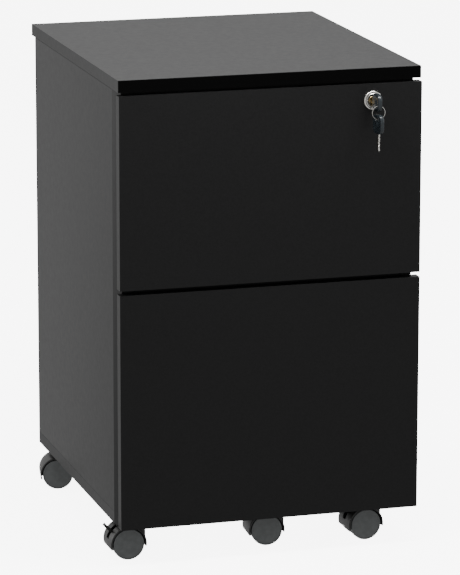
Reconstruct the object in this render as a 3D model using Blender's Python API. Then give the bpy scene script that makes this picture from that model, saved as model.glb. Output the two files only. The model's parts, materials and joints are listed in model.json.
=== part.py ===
"""Rolling pedestal cabinet with two drawers, a cam lock and five twin-wheel casters.

Metres, +Z up, floor at z = 0. X runs left to right and the drawers open towards -Y.
Depths are counted backwards from the drawer faces, and insets inwards from a side.
"""
import math

import bmesh
import bpy
from mathutils import Matrix, Vector

# Overall sizes
WIDTH = 0.385
DEPTH = 0.445
CASTER_HEIGHT = 0.048
TOTAL_HEIGHT = 0.610
KEY_REACH = 0.030
SHEET = 0.001
GAP = 0.0003

HALF_WIDTH = WIDTH / 2
FACE_Y = -(DEPTH - KEY_REACH) / 2
BODY_BOTTOM = CASTER_HEIGHT
# The trailing casters and the spare key push the bounding box off the body's middle by this much
ORIGIN_SHIFT = (0.007, 0.002, 0)

# Top
SLAB_THICKNESS = 0.015
SLAB_SETBACK = 0.004
SLAB_RETURN = 0.016
SLAB_BOTTOM = TOTAL_HEIGHT - SLAB_THICKNESS
CARCASS_TOP = SLAB_BOTTOM - GAP

# Carcass section, counted from the drawer faces and from the side skin
CARCASS_DEPTH = 0.427
BACK_FRONT = CARCASS_DEPTH - SHEET
SIDE_REAR = BACK_FRONT - GAP
GROOVE_INSET = 0.0065
GROOVE_REAR = 0.034
POST_FRONT = 0.015
POST_INSET = 0.0205
POST_RETURN = 0.012
BASE_HEIGHT = 0.015
BASE_TOP = BODY_BOTTOM + BASE_HEIGHT
RAIL_FRONT = 0.016
RAIL_DEPTH = 0.012
UPPER_RAIL_HEIGHT = 0.011
MIDDLE_RAIL_HEIGHT = 0.014

# Drawer fronts
PAN_DEPTH = 0.014
PAN_SIDE_LIP = 0.045
PAN_TOP_LIP = 0.008
LOWER_FRONT_HEIGHT = 0.297
UPPER_FRONT_HEIGHT = 0.240
DRAWER_GAP = 0.006
LOWER_FRONT_TOP = BODY_BOTTOM + LOWER_FRONT_HEIGHT
UPPER_FRONT_BOTTOM = LOWER_FRONT_TOP + DRAWER_GAP
UPPER_FRONT_TOP = UPPER_FRONT_BOTTOM + UPPER_FRONT_HEIGHT

# Slides: distances inwards from the post returns
SLIDE_FRONT = RAIL_FRONT
SLIDE_LENGTH = 0.404
SLIDE_MOUNT_INSET = POST_INSET + GAP
OUTER_HALF_HEIGHT = 0.02285
OUTER_REACH = 0.0105
OUTER_SHEET = 0.0012
MIDDLE_HALF_HEIGHT = 0.020
MIDDLE_WEB = 0.005
MIDDLE_REACH = 0.0115
INNER_HALF_HEIGHT = 0.0175
INNER_FLANGE = 0.0068
INNER_REACH = 0.0124
LOWER_SLIDE_Z = 0.118
UPPER_SLIDE_Z = 0.415

# Trays
TRAY_HALF_WIDTH = HALF_WIDTH - SLIDE_MOUNT_INSET - INNER_REACH - GAP
TRAY_FRONT = PAN_DEPTH + GAP
TRAY_LENGTH = 0.395
LOWER_TRAY_BOTTOM = 0.068
LOWER_TRAY_HEIGHT = 0.240
UPPER_TRAY_BOTTOM = 0.365
UPPER_TRAY_HEIGHT = 0.175
FILE_RAIL_DROP = 0.010

# Lock
LOCK_X = HALF_WIDTH - 0.064
LOCK_Z = UPPER_FRONT_TOP - 0.020
BEZEL_RADIUS = 0.01175
BEZEL_DEPTH = 0.003
BARREL_RADIUS = 0.0095
BARREL_REAR = 0.0155
PLUG_RADIUS = 0.0060
PLUG_REAR = 0.0160
TAIL_RADIUS = 0.0030
TAIL_REAR = 0.0195
KEYWAY_HALF_WIDTH = 0.0013
KEYWAY_HALF_HEIGHT = 0.0031
NUT_RADIUS = 0.0130
CAM_FRONT = PLUG_REAR + GAP
CAM_THICKNESS = 0.002
CAM_LENGTH = 0.040
CAM_HALF_WIDTH = 0.005
BAR_FRONT = 0.037
BAR_WIDTH = 0.012
BAR_BOTTOM = 0.090
TAB_BOTTOM = LOCK_Z - 0.0045
TAB_THICKNESS = 0.002
TAB_INSET = (0.024, 0.045)
TAB_FRONT = 0.0165

# Keys and ring
HEAD_LENGTH = 0.024
HEAD_WIDTH = 0.021
HEAD_THICKNESS = 0.005
HEAD_CORNER = 0.007
SLOT_FROM_END = 0.0065
SLOT_WIDTH = 0.0036
SLOT_LENGTH = 0.009
BLADE_THICKNESS = 0.002
BLADE_WIDTH = 0.0055
BLADE_LENGTH = 0.0225
RING_RADIUS = 0.0082
WIRE_RADIUS = 0.0006
SPARE_TURN = math.radians(9)

# Casters, in a frame whose Z axis is the swivel axis and whose wheel trails towards -X
WHEEL_RADIUS = 0.020
TRAIL = 0.020
WHEEL_INNER = 0.0080
WHEEL_OUTER = 0.0195
AXLE_RADIUS = 0.0025
AXLE_HOLE = AXLE_RADIUS + GAP
AXLE_HALF_LENGTH = 0.0162
HOOD_INNER_RADIUS = 0.0212
HOOD_OUTER_RADIUS = 0.0232
HOOD_HALF_WIDTH = 0.0199
WEB_HALF_WIDTH = 0.0076
BOSS_RADIUS = 0.006
BOSS_BOTTOM = 0.014
HOOD_TOP = 0.044
STEM_RADIUS = 0.004
STEM_BOTTOM = 0.0185
COLLAR_RADIUS = 0.009
STUD_LENGTH = 0.010
LEVER_PIVOT = (-0.0150, 0.0120)
LEVER_TIP = (-0.0270, 0.0230)
LEVER_HALF_WIDTH = 0.0040
LEVER_THICKNESS = 0.0036
LEVER_HEEL = 0.0024
LEVER_PIN_RADIUS = 0.0015

FRONT_CASTER_INSET = 0.038
REAR_CASTER_INSET = 0.032
FRONT_CASTER_DEPTH = 0.050
REAR_CASTER_DEPTH = 0.375
CENTRE_CASTER_X = 0.029
CENTRE_CASTER_DEPTH = 0.059
NOTCH_HALF_WIDTH = 0.017

# name, swivel axis x, depth, turn about Z in degrees, has a brake lever
CASTERS = (
    ("front_left", -HALF_WIDTH + FRONT_CASTER_INSET, FRONT_CASTER_DEPTH, 0, True),
    ("front_right", HALF_WIDTH - FRONT_CASTER_INSET, FRONT_CASTER_DEPTH, 3, True),
    ("rear_left", -HALF_WIDTH + REAR_CASTER_INSET, REAR_CASTER_DEPTH, -11, False),
    ("rear_right", HALF_WIDTH - REAR_CASTER_INSET, REAR_CASTER_DEPTH, 8, False),
    ("centre", CENTRE_CASTER_X, CENTRE_CASTER_DEPTH, -4, False),
)

ROUND_SEGMENTS = 28
SMALL_SEGMENTS = 16
SMOOTH_ANGLE = math.radians(35)

# Plain colours: red, green, blue, metallic, roughness
BLACK_PAINT = (0.020, 0.020, 0.022, 0.0, 0.45)
ZINC = (0.55, 0.56, 0.57, 1.0, 0.35)
CHROME = (0.80, 0.79, 0.76, 1.0, 0.12)
BRASS = (0.72, 0.56, 0.30, 1.0, 0.25)
BLACK_PLASTIC = (0.025, 0.026, 0.028, 0.0, 0.40)
GREY_TYRE = (0.070, 0.070, 0.072, 0.0, 0.55)


def back(depth):
    """World y of a depth counted backwards from the drawer faces."""
    return FACE_Y + depth


def in_space(a, b, along, axis):
    """Point whose coordinate on axis is along; a and b fill the other two in X, Y, Z order."""
    return {"X": (along, a, b), "Y": (a, along, b), "Z": (a, b, along)}[axis]


def solid_from(fill):
    """Object whose mesh is filled by a function, with its faces turned outwards."""
    mesh = bpy.data.meshes.new("solid")
    shape = bmesh.new()
    fill(shape)
    bmesh.ops.recalc_face_normals(shape, faces=shape.faces)
    shape.to_mesh(mesh)
    shape.free()
    item = bpy.data.objects.new("solid", mesh)
    bpy.context.scene.collection.objects.link(item)
    return item


def prism(outline, axis, start, end):
    """Closed outline pushed along an axis from start to end."""

    def fill(shape):
        first = [shape.verts.new(in_space(a, b, start, axis)) for a, b in outline]
        last = [shape.verts.new(in_space(a, b, end, axis)) for a, b in outline]
        shape.faces.new(first)
        shape.faces.new(last)
        for index in range(len(outline)):
            following = (index + 1) % len(outline)
            shape.faces.new((first[index], first[following], last[following], last[index]))

    return solid_from(fill)


def box(x_span, y_span, z_span):
    """Block between two limits on each axis."""
    corners = [(x_span[0], y_span[0]), (x_span[1], y_span[0]), (x_span[1], y_span[1]), (x_span[0], y_span[1])]
    return prism(corners, "Z", z_span[0], z_span[1])


def lathe(profile, axis, centre, segments, closed=False):
    """Profile of (radius, position) pairs turned about an axis through centre."""

    def ring(shape, radius, position):
        if radius == 0:
            return [shape.verts.new(Vector(centre) + Vector(in_space(0, 0, position, axis)))]
        corners = []
        for step in range(segments):
            angle = 2 * math.pi * step / segments
            spot = in_space(radius * math.cos(angle), radius * math.sin(angle), position, axis)
            corners.append(shape.verts.new(Vector(centre) + Vector(spot)))
        return corners

    def fill(shape):
        rings = [ring(shape, radius, position) for radius, position in profile]
        pairs = list(zip(rings, rings[1:]))
        if closed:
            pairs.append((rings[-1], rings[0]))
        for lower, upper in pairs:
            for step in range(segments):
                following = (step + 1) % segments
                if len(lower) == 1:
                    shape.faces.new((lower[0], upper[following], upper[step]))
                elif len(upper) == 1:
                    shape.faces.new((lower[step], lower[following], upper[0]))
                else:
                    shape.faces.new((lower[step], lower[following], upper[following], upper[step]))

    return solid_from(fill)


def rod(axis, centre, radius, start, end, segments=SMALL_SEGMENTS):
    """Plain cylinder along an axis."""
    return lathe([(0, start), (radius, start), (radius, end), (0, end)], axis, centre, segments)


def folded(path, thickness):
    """Closed outline of a sheet folded along a path, lying on the path's left."""
    points = [Vector(point) for point in path]
    runs = [(end - start).normalized() for start, end in zip(points, points[1:])]
    inner = []
    for index, point in enumerate(points):
        before = runs[max(index - 1, 0)]
        after = runs[min(index, len(runs) - 1)]
        left_before = Vector((-before.y, before.x))
        left_after = Vector((-after.y, after.x))
        inner.append(point + (left_before + left_after) * thickness / (1 + left_before.dot(left_after)))
    return points + inner[::-1]


def arc(centre, radius, start_degrees, end_degrees, steps):
    """Points along an arc, both ends included."""
    points = []
    for step in range(steps + 1):
        angle = math.radians(start_degrees + (end_degrees - start_degrees) * step / steps)
        points.append((centre[0] + radius * math.cos(angle), centre[1] + radius * math.sin(angle)))
    return points


def rounded_outline(centre, half_a, half_b, corner, steps):
    """Rectangle with rounded corners."""
    outline = []
    for sign_a, sign_b, start in ((1, 1, 0), (-1, 1, 90), (-1, -1, 180), (1, -1, 270)):
        middle = (centre[0] + sign_a * (half_a - corner), centre[1] + sign_b * (half_b - corner))
        outline += arc(middle, corner, start, start + 90, steps)
    return outline


def boolean(base, others, operation):
    """Base joined with, or cut by, the other solids, which are used up."""
    for other in others:
        modifier = base.modifiers.new(operation, "BOOLEAN")
        modifier.operation = operation
        modifier.solver = "EXACT"
        modifier.object = other
    graph = bpy.context.evaluated_depsgraph_get()
    mesh = bpy.data.meshes.new_from_object(base.evaluated_get(graph))
    base.modifiers.clear()
    base.data = mesh
    for other in others:
        bpy.data.objects.remove(other, do_unlink=True)
    return base


def join(base, *others):
    return boolean(base, others, "UNION")


def cut(base, *others):
    return boolean(base, others, "DIFFERENCE")


def paint(item, look):
    """Give an object its own material."""
    red, green, blue, metallic, roughness = look
    material = bpy.data.materials.new(item.name)
    material.use_nodes = True
    shader = material.node_tree.nodes["Principled BSDF"]
    shader.inputs["Base Color"].default_value = (red, green, blue, 1)
    shader.inputs["Metallic"].default_value = metallic
    shader.inputs["Roughness"].default_value = roughness
    material.diffuse_color = (red, green, blue, 1)
    item.data.materials.clear()
    item.data.materials.append(material)


def carrier_offset(carrier):
    """What turns a modelled position into a location under a carrier, or in the world."""
    return -Vector(carrier["pivot"]) if carrier else Vector(ORIGIN_SHIFT)


def place(item, name, look, pivot=(0, 0, 0), parent=None):
    """Name and paint a solid, put its origin on its pivot and hang it on its parent."""
    item.name = name
    item.data.name = name
    item["pivot"] = tuple(pivot)
    item.data.transform(Matrix.Translation(-Vector(pivot)))
    item.data.shade_smooth()
    item.data.set_sharp_from_angle(angle=SMOOTH_ANGLE)
    item.parent = parent
    item.location = Vector(pivot) + carrier_offset(parent)
    paint(item, look)
    return item


def make_top():
    """Folded steel top: a shallow pan, open below between its return lips."""
    edge = HALF_WIDTH - SHEET
    mouth = HALF_WIDTH - SLAB_RETURN
    front, rear = back(SLAB_SETBACK), back(DEPTH)
    outer = box((-HALF_WIDTH, HALF_WIDTH), (front, rear), (SLAB_BOTTOM, TOTAL_HEIGHT))
    hollow = box((-edge, edge), (front + SHEET, rear - SHEET), (SLAB_BOTTOM + SHEET, TOTAL_HEIGHT - SHEET))
    opening = box(
        (-mouth, mouth),
        (front + SLAB_RETURN, rear - SLAB_RETURN),
        (SLAB_BOTTOM - SHEET, SLAB_BOTTOM + 3 * SHEET),
    )
    place(cut(outer, hollow, opening), "top_panel", BLACK_PAINT)


def make_side(name, side):
    """Side skin with the sloped finger groove, the front post and the rear return folded from one sheet."""
    path = [
        (POST_INSET, SIDE_REAR - POST_RETURN),
        (POST_INSET, SIDE_REAR),
        (0, SIDE_REAR),
        (0, GROOVE_REAR),
        (GROOVE_INSET, POST_FRONT),
        (POST_INSET, POST_FRONT),
        (POST_INSET, POST_FRONT + POST_RETURN),
    ]
    outline = [(side * (HALF_WIDTH - inset), back(depth)) for inset, depth in folded(path, SHEET)]
    place(prism(outline, "Z", BASE_TOP + GAP, CARCASS_TOP), name, BLACK_PAINT)


def make_back():
    """Flat rear sheet that closes the carcass."""
    sheet = box((-HALF_WIDTH, HALF_WIDTH), (back(BACK_FRONT), back(CARCASS_DEPTH)), (BODY_BOTTOM, CARCASS_TOP))
    place(sheet, "back_panel", BLACK_PAINT)


def base_outline(inset):
    """Plan of the base pan, moved inwards by inset, following the finger grooves."""
    run = GROOVE_REAR - POST_FRONT
    slope = math.hypot(run, GROOVE_INSET)
    front_inset = GROOVE_INSET + inset * (slope - GROOVE_INSET) / run
    bend_depth = GROOVE_REAR + inset * (slope - run) / GROOVE_INSET
    right = [
        (HALF_WIDTH - front_inset, POST_FRONT + inset),
        (HALF_WIDTH - inset, bend_depth),
        (HALF_WIDTH - inset, SIDE_REAR - inset),
    ]
    left = [(-x, depth) for x, depth in reversed(right)]
    return [(x, back(depth)) for x, depth in right + left]


def make_base():
    """Base pan with stud holes and a notch for the drawer's own caster."""
    pan = prism(base_outline(0), "Z", BODY_BOTTOM, BASE_TOP)
    hollow = prism(base_outline(SHEET), "Z", BODY_BOTTOM + SHEET, BASE_TOP + SHEET)
    holes = []
    for name, x, depth, _turn, _brake in CASTERS:
        if name != "centre":
            holes.append(rod("Z", (x, back(depth), 0), STEM_RADIUS + GAP, BODY_BOTTOM - SHEET, BASE_TOP))
    notch = box(
        (CENTRE_CASTER_X - NOTCH_HALF_WIDTH, CENTRE_CASTER_X + NOTCH_HALF_WIDTH),
        (back(POST_FRONT - SHEET), back(CENTRE_CASTER_DEPTH + NOTCH_HALF_WIDTH)),
        (BODY_BOTTOM - SHEET, BASE_TOP + SHEET),
    )
    place(cut(pan, hollow, notch, *holes), "base_panel", BLACK_PAINT)


def make_rail(name, bottom, height):
    """Channel that ties the two front posts together."""
    rear = back(RAIL_FRONT + RAIL_DEPTH)
    front = back(RAIL_FRONT)
    path = [(rear, bottom + height), (front, bottom + height), (front, bottom), (rear, bottom)]
    end = HALF_WIDTH - POST_INSET - GAP
    place(prism(folded(path, SHEET), "X", -end, end), name, BLACK_PAINT)


def make_drawer_front(name, bottom, top, pivot, with_lock):
    """Folded pan front; its rear lips carry the tray."""
    edge = HALF_WIDTH - SHEET
    mouth = HALF_WIDTH - PAN_SIDE_LIP
    outer = box((-HALF_WIDTH, HALF_WIDTH), (back(0), back(PAN_DEPTH)), (bottom, top))
    hollow = box((-edge, edge), (back(SHEET), back(PAN_DEPTH - SHEET)), (bottom + SHEET, top - SHEET))
    opening = box(
        (-mouth, mouth),
        (back(PAN_DEPTH - 3 * SHEET), back(PAN_DEPTH + SHEET)),
        (bottom + PAN_TOP_LIP, top - PAN_TOP_LIP),
    )
    front = cut(outer, hollow, opening)
    if with_lock:
        hole = rod("Y", (LOCK_X, 0, LOCK_Z), BARREL_RADIUS + GAP, back(-SHEET), back(3 * SHEET), ROUND_SEGMENTS)
        front = cut(front, hole)
    return place(front, name, BLACK_PAINT, pivot)


def make_tray(name, bottom, height, parent, with_stud_hole):
    """Open-topped sheet steel drawer box behind a front."""
    inner = TRAY_HALF_WIDTH - SHEET
    front, rear = back(TRAY_FRONT), back(TRAY_FRONT + TRAY_LENGTH)
    outer = box((-TRAY_HALF_WIDTH, TRAY_HALF_WIDTH), (front, rear), (bottom, bottom + height))
    hollow = box((-inner, inner), (front + SHEET, rear - SHEET), (bottom + SHEET, bottom + height + SHEET))
    tray = cut(outer, hollow)
    if with_stud_hole:
        spot = (CENTRE_CASTER_X, back(CENTRE_CASTER_DEPTH), 0)
        tray = cut(tray, rod("Z", spot, STEM_RADIUS + GAP, bottom - SHEET, bottom + 3 * SHEET))
    return place(tray, name, BLACK_PAINT, parent["pivot"], parent)


def make_file_rail(name, side, parent):
    """Capping channel on a tray side, over which file hangers hook."""
    top = LOWER_TRAY_BOTTOM + LOWER_TRAY_HEIGHT + GAP + SHEET
    outer = TRAY_HALF_WIDTH + GAP + SHEET
    inner = TRAY_HALF_WIDTH - SHEET - GAP - SHEET
    path = [(inner, top - FILE_RAIL_DROP), (inner, top), (outer, top), (outer, top - FILE_RAIL_DROP)]
    outline = [(side * x, z) for x, z in folded(path, -SHEET)]
    front, rear = back(TRAY_FRONT + 5 * SHEET), back(TRAY_FRONT + TRAY_LENGTH - 5 * SHEET)
    place(prism(outline, "Y", front, rear), name, ZINC, parent["pivot"], parent)


def slide_member(path, thickness, side, height):
    """One slide section; the path counts inwards from the post return and up from the slide's centre."""
    start = HALF_WIDTH - SLIDE_MOUNT_INSET
    outline = [(side * (start - inwards), height + up) for inwards, up in folded(path, thickness)]
    return prism(outline, "Y", back(SLIDE_FRONT), back(SLIDE_FRONT + SLIDE_LENGTH))


def make_slide(prefix, side, height, drawer):
    """Three-member telescopic slide."""
    outer_path = [
        (OUTER_REACH, OUTER_HALF_HEIGHT),
        (0, OUTER_HALF_HEIGHT),
        (0, -OUTER_HALF_HEIGHT),
        (OUTER_REACH, -OUTER_HALF_HEIGHT),
    ]
    middle_path = [
        (MIDDLE_REACH, MIDDLE_HALF_HEIGHT),
        (MIDDLE_WEB, MIDDLE_HALF_HEIGHT),
        (MIDDLE_WEB, -MIDDLE_HALF_HEIGHT),
        (MIDDLE_REACH, -MIDDLE_HALF_HEIGHT),
    ]
    inner_path = [
        (INNER_FLANGE, -INNER_HALF_HEIGHT),
        (INNER_REACH, -INNER_HALF_HEIGHT),
        (INNER_REACH, INNER_HALF_HEIGHT),
        (INNER_FLANGE, INNER_HALF_HEIGHT),
    ]
    pivot = (0, back(SLIDE_FRONT), height)
    place(slide_member(outer_path, OUTER_SHEET, side, height), prefix + "_outer", ZINC, pivot)
    place(slide_member(middle_path, SHEET, side, height), prefix + "_middle", ZINC, pivot)
    place(slide_member(inner_path, OUTER_SHEET, side, height), prefix + "_inner", ZINC, drawer["pivot"], drawer)


def make_lock_bar():
    """Channel that runs down the right side, with the tab the cam lifts."""
    inner = HALF_WIDTH - POST_INSET
    outer = HALF_WIDTH - SHEET - GAP
    front, rear = back(BAR_FRONT), back(BAR_FRONT + BAR_WIDTH)
    channel = folded([(outer, rear), (inner, rear), (inner, front), (outer, front)], SHEET)
    top = TAB_BOTTOM + TAB_THICKNESS
    tab_near, tab_far = HALF_WIDTH - TAB_INSET[1], HALF_WIDTH - TAB_INSET[0]
    tab = [
        (tab_near, back(TAB_FRONT)),
        (tab_far, back(TAB_FRONT)),
        (tab_far, front + SHEET / 2),
        (inner + SHEET / 2, front + SHEET / 2),
        (inner + SHEET / 2, rear - SHEET / 2),
        (tab_near, rear - SHEET / 2),
    ]
    bar = join(prism(channel, "Z", BAR_BOTTOM, top), prism(tab, "Z", TAB_BOTTOM, top - SHEET / 4))
    place(bar, "lock_bar", ZINC, (inner, front, TAB_BOTTOM))


def make_lock(drawer):
    """Housing and nut fixed to the drawer front; plug and cam turn in it."""
    centre = (LOCK_X, back(0), LOCK_Z)
    bore = PLUG_RADIUS + GAP
    profile = [
        (bore, -BEZEL_DEPTH + GAP),
        (bore + 2 * GAP, -BEZEL_DEPTH - GAP),
        (BEZEL_RADIUS - SHEET, -BEZEL_DEPTH - GAP),
        (BEZEL_RADIUS, -BEZEL_DEPTH + SHEET / 2),
        (BEZEL_RADIUS, -GAP),
        (BARREL_RADIUS, -GAP),
        (BARREL_RADIUS, BARREL_REAR),
        (bore, BARREL_REAR),
    ]
    housing = lathe(profile, "Y", centre, ROUND_SEGMENTS, closed=True)
    place(housing, "lock_housing", CHROME, drawer["pivot"], drawer)

    corners = arc((LOCK_X, LOCK_Z), NUT_RADIUS, 0, 300, 5)
    nut_front, nut_rear = back(SHEET + GAP), back(5 * SHEET)
    hole = rod("Y", (LOCK_X, 0, LOCK_Z), BARREL_RADIUS + GAP, back(0), back(6 * SHEET), ROUND_SEGMENTS)
    place(cut(prism(corners, "Y", nut_front, nut_rear), hole), "lock_nut", ZINC, drawer["pivot"], drawer)

    plug_profile = [
        (0, -BEZEL_DEPTH),
        (PLUG_RADIUS, -BEZEL_DEPTH),
        (PLUG_RADIUS, PLUG_REAR),
        (TAIL_RADIUS, PLUG_REAR),
        (TAIL_RADIUS, TAIL_REAR),
        (0, TAIL_REAR),
    ]
    keyway = box(
        (LOCK_X - KEYWAY_HALF_WIDTH, LOCK_X + KEYWAY_HALF_WIDTH),
        (back(-BEZEL_DEPTH - SHEET), back(BARREL_REAR - 3 * SHEET)),
        (LOCK_Z - KEYWAY_HALF_HEIGHT, LOCK_Z + KEYWAY_HALF_HEIGHT),
    )
    plug = cut(lathe(plug_profile, "Y", centre, ROUND_SEGMENTS), keyway)
    plug = place(plug, "lock_plug", BRASS, centre, drawer)

    hub = 1.3 * CAM_HALF_WIDTH
    arm = arc((LOCK_X, LOCK_Z), hub, -40, 220, 10)
    arm += [(LOCK_X - CAM_HALF_WIDTH, LOCK_Z - CAM_LENGTH), (LOCK_X + CAM_HALF_WIDTH, LOCK_Z - CAM_LENGTH)]
    cam = prism(arm, "Y", back(CAM_FRONT), back(CAM_FRONT + CAM_THICKNESS))
    eye = rod("Y", (LOCK_X, 0, LOCK_Z), TAIL_RADIUS + GAP, back(BARREL_REAR), back(TAIL_REAR + SHEET))
    place(cut(cam, eye), "lock_cam", ZINC, centre, plug)
    return plug


def flat_key(blade_length):
    """Key lying in the YZ plane, head towards -Y; its origin is the middle of the slot."""
    outer_end = -SLOT_FROM_END
    inner_end = outer_end + HEAD_LENGTH
    middle = ((outer_end + inner_end) / 2, 0)
    outline = rounded_outline(middle, HEAD_LENGTH / 2, HEAD_WIDTH / 2, HEAD_CORNER, 4)
    head = prism(outline, "X", -HEAD_THICKNESS / 2, HEAD_THICKNESS / 2)
    slot = rounded_outline((0, 0), SLOT_WIDTH / 2, SLOT_LENGTH / 2, SLOT_WIDTH / 2 - GAP / 10, 3)
    blade = box(
        (-BLADE_THICKNESS / 2, BLADE_THICKNESS / 2),
        (inner_end - 2 * SHEET, inner_end + blade_length),
        (-BLADE_WIDTH / 2, BLADE_WIDTH / 2),
    )
    return cut(join(head, blade), prism(slot, "X", -HEAD_THICKNESS, HEAD_THICKNESS))


def make_keys(plug):
    """Key in the plug, ring through its slot, and the spare key hanging from the ring."""
    slot_y = back(-KEY_REACH + SLOT_FROM_END)
    key = flat_key(KEY_REACH - HEAD_LENGTH + BARREL_REAR - 4 * SHEET)
    key.data.transform(Matrix.Translation((LOCK_X, slot_y, LOCK_Z)))
    key = place(key, "key", BLACK_PLASTIC, plug["pivot"], plug)

    arc_drop = RING_RADIUS - math.sqrt(RING_RADIUS ** 2 - (HEAD_THICKNESS / 2) ** 2)
    ring_top = LOCK_Z - SLOT_LENGTH / 2 + WIRE_RADIUS + arc_drop + GAP / 2
    wire = arc((RING_RADIUS, 0), WIRE_RADIUS, 0, 315, 7)
    ring = lathe(wire, "Y", (LOCK_X, slot_y, ring_top - RING_RADIUS), ROUND_SEGMENTS, closed=True)
    ring = place(ring, "key_ring", CHROME, (LOCK_X, slot_y, ring_top), key)

    ring_bottom = ring_top - 2 * RING_RADIUS
    slot_centre = ring_bottom + arc_drop + WIRE_RADIUS + GAP / 2 - SLOT_WIDTH / 2
    spare = flat_key(BLADE_LENGTH)
    spare.data.transform(Matrix.Rotation(-math.pi / 2, 4, "X"))
    spare.data.transform(Matrix.Rotation(SPARE_TURN, 4, "Z"))
    spare.data.transform(Matrix.Translation((LOCK_X, slot_y, slot_centre)))
    place(spare, "spare_key", BLACK_PLASTIC, (LOCK_X, slot_y, ring_bottom), ring)


def make_stem(name, x, depth, collar_top, parent):
    """Pin the hood turns on, with a collar below the sheet and a stud through it."""
    profile = [
        (0, STEM_BOTTOM),
        (STEM_RADIUS, STEM_BOTTOM),
        (STEM_RADIUS, HOOD_TOP + GAP),
        (COLLAR_RADIUS, HOOD_TOP + GAP),
        (COLLAR_RADIUS, collar_top - GAP),
        (STEM_RADIUS, collar_top - GAP),
        (STEM_RADIUS, collar_top + STUD_LENGTH),
        (0, collar_top + STUD_LENGTH),
    ]
    stem = lathe(profile, "Z", (x, back(depth), 0), SMALL_SEGMENTS)
    place(stem, name, ZINC, parent["pivot"] if parent else (0, 0, 0), parent)


def hood_solid(with_brake):
    """Twin-wheel hood: a shroud over the treads, a web between the wheels and the stem boss."""
    axle = (-TRAIL, WHEEL_RADIUS)
    shroud_outline = arc(axle, HOOD_OUTER_RADIUS, -8, 195, 18) + arc(axle, HOOD_INNER_RADIUS, 195, -8, 18)
    shroud = prism(shroud_outline, "Y", -HOOD_HALF_WIDTH, HOOD_HALF_WIDTH)
    web_radius = (HOOD_INNER_RADIUS + HOOD_OUTER_RADIUS) / 2
    web_outline = arc(axle, web_radius, -4, 191, 16)
    web_outline += arc(axle, 2.6 * AXLE_RADIUS, 230, 310, 4)
    web = prism(web_outline, "Y", -WEB_HALF_WIDTH, WEB_HALF_WIDTH)
    boss = rod("Z", (0, 0, 0), BOSS_RADIUS, BOSS_BOTTOM, HOOD_TOP)
    hood = join(shroud, web, boss)

    axle_hole = rod("Y", (-TRAIL, 0, WHEEL_RADIUS), AXLE_HOLE, -HOOD_HALF_WIDTH, HOOD_HALF_WIDTH)
    stem_hole = rod("Z", (0, 0, 0), STEM_RADIUS + GAP, STEM_BOTTOM - GAP, HOOD_TOP + SHEET)
    hood = cut(hood, axle_hole, stem_hole)
    if with_brake:
        pivot_x, pivot_z = axle[0] + LEVER_PIVOT[0], axle[1] + LEVER_PIVOT[1]
        half = LEVER_HALF_WIDTH + 2 * GAP
        slot = box(
            (pivot_x - 5 * LEVER_HALF_WIDTH, pivot_x + LEVER_HALF_WIDTH),
            (-half, half),
            (pivot_z - 1.8 * LEVER_HALF_WIDTH, pivot_z + 5 * LEVER_HALF_WIDTH),
        )
        pin_half = WEB_HALF_WIDTH - SHEET
        pin_hole = rod("Y", (pivot_x, 0, pivot_z), LEVER_PIN_RADIUS + GAP, -pin_half, pin_half)
        hood = cut(hood, slot, pin_hole)
    return hood


def wheel_solid(side):
    """Wheel with a blind bore, open towards the hood's web, and a dished outer face."""
    chamfer = 0.0012
    dish = 0.0008
    profile = [
        (0, WHEEL_OUTER - 3 * SHEET),
        (AXLE_HOLE, WHEEL_OUTER - 3 * SHEET),
        (AXLE_HOLE, WHEEL_INNER),
        (WHEEL_RADIUS - chamfer, WHEEL_INNER),
        (WHEEL_RADIUS, WHEEL_INNER + chamfer),
        (WHEEL_RADIUS, WHEEL_OUTER - chamfer),
        (WHEEL_RADIUS - chamfer, WHEEL_OUTER),
        (0.80 * WHEEL_RADIUS, WHEEL_OUTER),
        (0.76 * WHEEL_RADIUS, WHEEL_OUTER - dish),
        (0, WHEEL_OUTER - dish),
    ]
    mirrored = [(radius, side * position) for radius, position in profile]
    return lathe(mirrored, "Y", (-TRAIL, 0, WHEEL_RADIUS), ROUND_SEGMENTS)


def lever_solid():
    """Brake pedal with its pivot pin."""
    pivot = Vector((LEVER_PIVOT[0] - TRAIL, LEVER_PIVOT[1] + WHEEL_RADIUS))
    tip = Vector((LEVER_TIP[0] - TRAIL, LEVER_TIP[1] + WHEEL_RADIUS))
    along = (tip - pivot).normalized()
    across = Vector((-along.y, along.x)) * LEVER_THICKNESS / 2
    heel = pivot - along * LEVER_HEEL
    pedal = prism([heel + across, heel - across, tip - across, tip + across], "Y", -LEVER_HALF_WIDTH, LEVER_HALF_WIDTH)
    pin_half = WEB_HALF_WIDTH - SHEET - GAP
    return join(pedal, rod("Y", (pivot.x, 0, pivot.y), LEVER_PIN_RADIUS, -pin_half, pin_half))


def make_caster(prefix, x, depth, turn_degrees, with_brake, carrier):
    """Stem on its carrier, then the hood with its axle, wheels and brake lever."""
    collar_top = BODY_BOTTOM if carrier is None else LOWER_TRAY_BOTTOM
    make_stem(prefix + "_stem", x, depth, collar_top, carrier)

    hood = place(hood_solid(with_brake), prefix + "_hood", BLACK_PLASTIC)
    axle_spot = (-TRAIL, 0, WHEEL_RADIUS)
    axle = rod("Y", axle_spot, AXLE_RADIUS, -AXLE_HALF_LENGTH, AXLE_HALF_LENGTH)
    place(axle, prefix + "_axle", ZINC, axle_spot, hood)
    place(wheel_solid(-1), prefix + "_wheel_left", GREY_TYRE, axle_spot, hood)
    place(wheel_solid(1), prefix + "_wheel_right", GREY_TYRE, axle_spot, hood)
    if with_brake:
        pivot = (LEVER_PIVOT[0] - TRAIL, 0, LEVER_PIVOT[1] + WHEEL_RADIUS)
        place(lever_solid(), prefix + "_brake_lever", BLACK_PLASTIC, pivot, hood)

    hood.parent = carrier
    hood.location = Vector((x, back(depth), 0)) + carrier_offset(carrier)
    hood.rotation_euler.z = math.radians(turn_degrees)


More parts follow.
